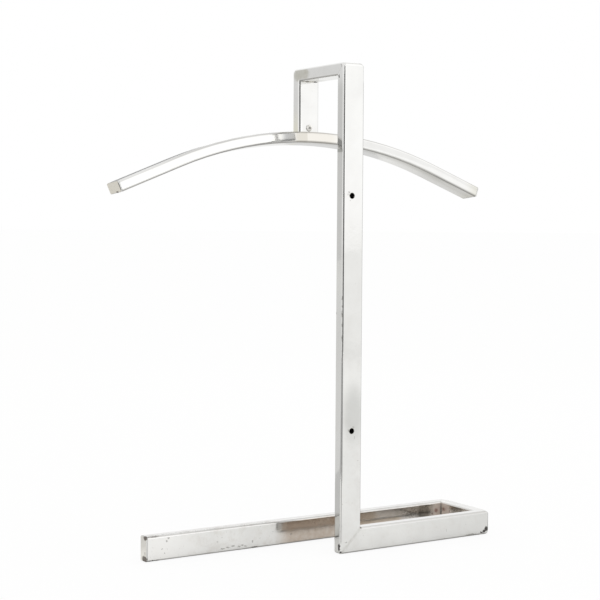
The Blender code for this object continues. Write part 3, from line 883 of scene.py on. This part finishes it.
smoothing = bpy.data.node_groups.new("polished_normals", "GeometryNodeTree")
smoothing.interface.new_socket("Geometry", in_out='INPUT', socket_type='NodeSocketGeometry')
smoothing.interface.new_socket("Geometry", in_out='OUTPUT', socket_type='NodeSocketGeometry')
entry = add_node(smoothing, "NodeGroupInput")
edge_angle = add_node(smoothing, "GeometryNodeInputMeshEdgeAngle")
blunt = add_node(smoothing, "FunctionNodeCompare", {
    0: edge_angle.outputs[0], 1: SHARP_ANGLE,
}, operation='LESS_THAN')
faces = add_node(smoothing, "GeometryNodeSetShadeSmooth", {
    "Geometry": entry.outputs[0], "Shade Smooth": True,
}, domain='FACE')
edges = add_node(smoothing, "GeometryNodeSetShadeSmooth", {
    "Geometry": faces.outputs[0], "Shade Smooth": blunt.outputs[0],
}, domain='EDGE')
add_node(smoothing, "NodeGroupOutput", {0: edges.outputs[0]})


def polish(thing):
    """Give a piece the normals of a polished solid."""
    weld = thing.modifiers.new("weld", 'WELD')
    weld.merge_threshold = WELD_REACH
    shade = thing.modifiers.new("shade", 'NODES')
    shade.node_group = smoothing
    weigh = thing.modifiers.new("weigh", 'WEIGHTED_NORMAL')
    weigh.keep_sharp = True
    weigh.weight = FLAT_FACE_WEIGHT


print("edges under %.0f degrees are shaded smooth" % math.degrees(SHARP_ANGLE))

# %% [markdown]
# ## Coating the CAD pieces
#
# Every CAD piece names its material slot in the record, so a table from slot to metal coats them all.
# Only the hanger and the rail differ, because their plating leans.

# %% Coat the CAD pieces
METAL_OF_SLOT = {
    "chrome": tube_chrome,
    "cap_metal": cap_chrome,
    "screw_metal": screw_nickel,
    "tongue_metal": tongue_steel,
}
for part in frame["record"]["subparts"]:
    node = nodes[part["node"]]
    polish(node)
    node.data.materials[0] = METAL_OF_SLOT[part["material_slot"]]
nodes["hanger_bar"].data.materials[0] = hanger_chrome
nodes["trouser_rail"].data.materials[0] = rail_chrome
print(len(nodes), "pieces polished and coated")

# %% [markdown]
# ## Brazing in the mitres
#
# On the rack the mitres are brazed shut, ground and plated over, so a joint shows only as a faint line. The
# CAD pieces leave a hairline gap there. A slab with the outline of the tube's own cut end closes it: the
# end's faces are copied from the CAD mesh and given the thickness of the gap. A plain box would have to
# guess the rounded corners.

# %% Slab that fills a seam
SEAM_GAP = 0.3 * MM
SEAM_REACH = 0.8 * SEAM_GAP
SAME_FACING = 0.999
SAME_POINT_DIGITS = 6


def finish_mesh(name, work):
    """Turn bmesh work into a mesh whose faces all look outwards."""
    bmesh.ops.recalc_face_normals(work, faces=work.faces)
    mesh = bpy.data.meshes.new(name)
    work.to_mesh(mesh)
    work.free()
    return mesh


def add_piece(name, mesh, material):
    """Put a new piece on the rack."""
    thing = add_object(name, mesh)
    mesh.materials.append(material)
    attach(thing, "root")
    return thing


def fill_seam(name, node_name, point, normal, material):
    """Fill the gap in front of a tube's cut end with a slab of the same outline."""
    source = nodes[node_name].data
    normal = Vector(normal).normalized()
    work = bmesh.new()
    corner_at = {}
    for polygon in source.polygons:
        height = (polygon.center - point).dot(normal)
        if abs(polygon.normal.dot(normal)) < SAME_FACING or abs(height) > SEAM_REACH:
            continue
        corners = []
        for index in polygon.vertices:
            spot = source.vertices[index].co
            key = tuple(round(value, SAME_POINT_DIGITS) for value in spot)
            if key not in corner_at:
                corner_at[key] = work.verts.new(spot)
            corners.append(corner_at[key])
        if len(set(corners)) == len(corners):
            work.faces.new(corners)
    grown = bmesh.ops.extrude_face_region(work, geom=work.faces[:], use_keep_orig=True)
    moved = [item for item in grown["geom"] if isinstance(item, bmesh.types.BMVert)]
    bmesh.ops.translate(work, vec=normal * SEAM_GAP, verts=moved)
    return add_piece(name, finish_mesh(name, work), material)


print("seams are %.1f mm wide" % (SEAM_GAP / MM))

# %% [markdown]
# ## The five seams
#
# Each seam is given by the tube whose cut end is copied, a point in the cut and the way the cut looks. The
# points come from the boxes of the CAD pieces, so the slabs follow if a tube changes.

# %% Fill the seams
post_low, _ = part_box("wall_post")
foot_low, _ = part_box("foot_bar")
_, rail_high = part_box("trouser_rail")
end_low, end_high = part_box("end_bar")
bar_low, bar_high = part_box("top_bar")
stem_low, stem_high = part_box("hanger_stem")
SEAMS = (
    ("braze_post_foot", "foot_bar", (post_low.x, 0.0, foot_low.z), (-1.0, 0.0, 1.0)),
    ("braze_foot_end", "foot_bar", (end_high.x, 0.0, foot_low.z), (1.0, 1.0, 0.0)),
    ("braze_end_rail", "end_bar", (end_high.x, rail_high.y, end_low.z), (-1.0, 1.0, 0.0)),
    ("braze_post_top", "wall_post", (0.0, 0.0, bar_high.z), (0.0, 1.0, 1.0)),
    ("braze_top_stem", "top_bar", (0.0, stem_high.y, bar_high.z), (0.0, 1.0, -1.0)),
)
for name, node_name, point, normal in SEAMS:
    slab = fill_seam(name, node_name, Vector(point), normal, braze)
    print(name, len(slab.data.polygons), "faces")

# %% [markdown]
# ## Weld bead under the top bar
#
# Where the stem meets the top bar, the inner corner was left as it was welded: a lumpy line with dark
# pits. It is swept along the corner as a small fillet whose size wanders with noise, because a row of
# balls would look like pearls. Its root is sunk a little into both tubes, so no gap shows.

# %% Weld bead
BEAD_SIZE = 0.9 * MM
BEAD_MEAN = 0.75
BEAD_SWING = 0.6
BEAD_ROOT = 0.2 * MM
BEAD_END_GAP = 2.2 * MM
BEAD_STEPS = 44
FILLET_STEPS = 5
LUMPS_PER_MM = 0.55
LUMP_ROW = 3.1
END_TAPER = 0.3
END_LEAST = 0.15


def join_rings(work, rings):
    """Join each ring of points to the next with faces."""
    for before, after in zip(rings, rings[1:]):
        for index in range(len(before)):
            follows = (index + 1) % len(before)
            work.faces.new((before[index], before[follows], after[follows], after[index]))


work = bmesh.new()
rings = []
half = stem_high.x - BEAD_END_GAP
root_y = stem_low.y + BEAD_ROOT
root_z = bar_low.z + BEAD_ROOT
for step in range(BEAD_STEPS + 1):
    share = step / BEAD_STEPS
    along = -half + 2 * half * share
    wander = noise.noise(Vector((along / MM * LUMPS_PER_MM, LUMP_ROW, 0.0)))
    taper = max(math.sin(math.pi * share) ** END_TAPER, END_LEAST)
    reach = BEAD_SIZE * (BEAD_MEAN + BEAD_SWING * wander) * taper + BEAD_ROOT
    ring = [work.verts.new((along, root_y, root_z))]
    for turn_step in range(FILLET_STEPS + 1):
        angle = math.pi / 2 * turn_step / FILLET_STEPS
        ring.append(work.verts.new((
            along, root_y - reach * math.cos(angle), root_z - reach * math.sin(angle),
        )))
    rings.append(ring)
join_rings(work, rings)
work.faces.new(rings[0])
work.faces.new(rings[-1])
bead_mesh = finish_mesh("weld_bead", work)
bead_mesh.shade_smooth()
add_piece("weld_bead", bead_mesh, bead_steel)
print("bead %.1f mm long" % (2 * half / MM))

# %% [markdown]
# ## Burrs round the wall holes
#
# The holes were drilled after plating, and each has a thin raised lip. A lip is a ring that is half sunk in
# the face and wanders in thickness. It is swept round the hole, because a torus would be too even.

# %% Burrs
HOLES = (
    # name, middle in x and z in millimetres, and the angle at which the burr is thickest
    ("burr_upper", -1.6, 117.5, 2.4),
    ("burr_lower", 0.0, -117.5, 0.9),
)
HOLE_RADIUS = 3.0
BURR_SIZE = 0.16
BURR_SWING = 0.05
BURR_EXTRA = 0.14
BURR_FOCUS = 3
BURR_SINK = 0.06
BURR_OVERHANG = 0.6
BURR_TURNS = 48
BURR_SIDES = 8
BURR_LUMPS = 2.0

for name, hole_x, hole_z, thick_at in HOLES:
    work = bmesh.new()
    rings = []
    for step in range(BURR_TURNS):
        turned = 2 * math.pi * step / BURR_TURNS
        wander = noise.noise(Vector((math.cos(turned) * BURR_LUMPS, math.sin(turned) * BURR_LUMPS, hole_z)))
        thicker = max(0.0, math.cos(turned - thick_at)) ** BURR_FOCUS
        size = BURR_SIZE + BURR_SWING * wander + BURR_EXTRA * thicker
        ring = []
        for side in range(BURR_SIDES):
            side_angle = 2 * math.pi * side / BURR_SIDES
            reach = HOLE_RADIUS + BURR_OVERHANG * size + size * math.cos(side_angle)
            ring.append(work.verts.new(Vector((
                hole_x + reach * math.cos(turned),
                BURR_SINK + size * math.sin(side_angle),
                hole_z + reach * math.sin(turned),
            )) * MM))
        rings.append(ring)
    join_rings(work, rings + rings[:1])
    burr_mesh = finish_mesh(name, work)
    burr_mesh.shade_smooth()
    add_piece(name, burr_mesh, braze)
    print(name, "at z %.1f mm" % hole_z)

# %% [markdown]
# ## The floor
#
# The rack is shown on a plain pale floor. For the camera most of the floor glows white, so that it runs into
# the backdrop, and the rest is matt paper that keeps the shadow. Bright metal sees the matt paper alone.

# %% Floor
FLOOR_GAP = 0.3 * MM
FLOOR_LEVEL = foot_low.z - FLOOR_GAP
FLOOR_REACH = 60.0
FLOOR_SIDES = 64
GLOW_SHARE = 0.88
WHITE = (1.0, 1.0, 1.0, 1.0)

floor_paper, tree, output = new_material("matt_paper")
path = add_node(tree, "ShaderNodeLightPath")
paper = add_node(tree, "ShaderNodeBsdfDiffuse", {"Color": linear("#F9F9F8")})
white = add_node(tree, "ShaderNodeEmission", {"Color": WHITE, "Strength": 1.0})
share = add_node(tree, "ShaderNodeMath", {
    0: path.outputs["Is Camera Ray"], 1: GLOW_SHARE,
}, operation='MULTIPLY')
mixed = add_node(tree, "ShaderNodeMixShader", {
    0: share.outputs[0], 1: paper.outputs[0], 2: white.outputs[0],
})
tree.links.new(mixed.outputs[0], output.inputs["Surface"])

floor_mesh = bpy.data.meshes.new("floor")
work = bmesh.new()
bmesh.ops.create_circle(work, cap_ends=True, segments=FLOOR_SIDES, radius=FLOOR_REACH)
work.to_mesh(floor_mesh)
work.free()
floor = add_object("floor", floor_mesh)
floor.location.z = FLOOR_LEVEL
floor_mesh.materials.append(floor_paper)
print("floor at %.1f mm" % (FLOOR_LEVEL / MM))

# %% [markdown]
# ## The white room
#
# The world is a white tent. The camera and every mirror see it at strength 1, which is white, and matt
# surfaces get a little less light from it, so that the floor stays just below white.

# %% World
MATT_LIGHT = 0.98

world = bpy.data.worlds.new("studio")
bpy.context.scene.world = world
world.use_nodes = True
tree = world.node_tree
tree.nodes.clear()
path = add_node(tree, "ShaderNodeLightPath")
seen = combine(tree, 'MAXIMUM', [
    path.outputs["Is Camera Ray"], path.outputs["Is Glossy Ray"], path.outputs["Is Transmission Ray"],
])
glow = add_node(tree, "ShaderNodeBackground", {"Color": WHITE, "Strength": MATT_LIGHT})
backdrop = add_node(tree, "ShaderNodeBackground", {"Color": WHITE, "Strength": 1.0})
mixed = add_node(tree, "ShaderNodeMixShader", {0: seen, 1: glow.outputs[0], 2: backdrop.outputs[0]})
add_node(tree, "ShaderNodeOutputWorld", {"Surface": mixed.outputs[0]})
print("white tent ready")

# %% [markdown]
# ## Cards and softboxes
#
# In an even white tent chrome would vanish. A photographer hangs grey and black cards where the metal
# should get its dark lines, and soft lamps where it should be brightest. The cards here are seen by bright
# metal only. Their places follow from the mirror law: each face of the rack looks in one direction.

# %% Card and lamp helpers
RACK_MIDDLE = Vector((0.0, 0.05, 0.0))
LAMP_POWER = 4.0


def direction(azimuth, elevation):
    """Unit vector: azimuth is turned from +Y towards +X, elevation is up from the floor."""
    azimuth = math.radians(azimuth)
    elevation = math.radians(elevation)
    flat = math.cos(elevation)
    return Vector((math.sin(azimuth) * flat, math.cos(azimuth) * flat, math.sin(elevation)))


def towards_rack(place):
    """Turn that points -Z from a place to the middle of the rack."""
    return (RACK_MIDDLE - place).to_track_quat('-Z', 'Y').to_euler()


def card(name, place, turned, width, height, brightness):
    """Hang a plain card that only bright metal sees."""
    material, tree, output = new_material(name)
    paper = add_node(tree, "ShaderNodeEmission", {
        "Color": (brightness, brightness, brightness, 1.0), "Strength": 1.0,
    })
    tree.links.new(paper.outputs[0], output.inputs["Surface"])
    mesh = bpy.data.meshes.new(name)
    work = bmesh.new()
    bmesh.ops.create_grid(work, x_segments=1, y_segments=1, size=0.5)
    bmesh.ops.scale(work, vec=(width, height, 1.0), verts=work.verts)
    work.to_mesh(mesh)
    work.free()
    mesh.materials.append(material)
    thing = add_object(name, mesh)
    thing.location = place
    thing.rotation_euler = turned
    thing.visible_camera = False
    thing.visible_diffuse = False
    thing.visible_shadow = False
    thing.visible_transmission = False


def hung_card(name, azimuth, elevation, distance, width, height, brightness):
    """Hang a card in a direction, square to the rack."""
    place = direction(azimuth, elevation) * distance
    card(name, place, towards_rack(place), width, height, brightness)


def softbox(name, azimuth, elevation, distance, width, height, radiance):
    """Hang an area lamp of a given brightness per area."""
    data = bpy.data.lights.new(name, 'AREA')
    data.shape = 'RECTANGLE'
    data.size = width
    data.size_y = height
    data.energy = radiance * LAMP_POWER * width * height
    lamp = add_object(name, data)
    lamp.location = direction(azimuth, elevation) * distance
    lamp.rotation_euler = towards_rack(lamp.location)
    lamp.visible_camera = False


print("the camera looks along azimuth %.1f degrees" % math.degrees(CAMERA_YAW))

# %% [markdown]
# ## Hanging the cards and lamps
#
# Most lamps lift the wide faces of post and foot bar, which look out to the right, past the camera. Grey
# cards give the narrow left sides their tone, and the black one draws the dark lines in rounded edges. Mats
# do the same for the low tubes, which are seen from above and so mirror the floor. Each row holds what
# its helper asks for, in that order.

# %% Hang the cards and lamps
SOFTBOXES = (
    ("front_softbox", 168, 16, 2.0, 1.3, 0.8, 0.17),
    ("low_softbox", 148, 8.5, 2.0, 1.9, 1.0, 0.06),
    ("middle_softbox", 148, 8, 2.0, 1.9, 0.5, 0.08),
    ("high_softbox", 118, 38, 2.0, 2.0, 1.2, 0.20),
    ("side_softbox", -157, 16.5, 2.1, 0.45, 0.30, 0.75),
    ("rear_softbox", 25, 19, 2.0, 0.8, 0.30, 0.40),
)
HUNG_CARDS = (
    ("grey_card_left", -31, 17, 1.8, 0.85, 1.1, 0.80),
    ("dark_card", -156, 4, 2.2, 2.75, 0.79, 0.10),
    ("side_card", -137.5, 16.5, 2.15, 1.03, 0.34, 0.45),
    ("back_card", 19, 13.4, 1.85, 0.6, 0.22, 0.40),
)
# The mats glow at a set brightness that only the metal sees: painted shade of the floor in its reflections.
MATS = (
    # name, middle in x and y, width, depth and brightness
    ("front_mat", -1.05, -1.15, 2.3, 1.5, 0.45),
    ("left_mat", -1.325, -0.14, 1.75, 0.52, 0.45),
    ("near_mat", -0.45, 0.26, 1.2, 0.28, 0.72),
    ("far_mat", -1.4, 2.7, 3.2, 4.6, 0.90),
    ("back_mat", 0.9, 1.05, 0.9, 1.3, 0.78),
    ("right_mat", 0.65, 0.1925, 0.9, 0.415, 0.58),
)
MAT_LIFT = 0.5 * MM
MAT_LEVEL = FLOOR_LEVEL + MAT_LIFT
LAID_FLAT = (0.0, 0.0, 0.0)

for row in SOFTBOXES:
    softbox(*row)
for row in HUNG_CARDS:
    hung_card(*row)
for name, middle_x, middle_y, width, depth, brightness in MATS:
    card(name, Vector((middle_x, middle_y, MAT_LEVEL)), LAID_FLAT, width, depth, brightness)
print(len(SOFTBOXES), "lamps,", len(HUNG_CARDS), "cards and", len(MATS), "mats")

# %% [markdown]
# ## View
#
# The Standard view shows colours as they are written.

# %% View
bpy.context.scene.view_settings.view_transform = 'Standard'
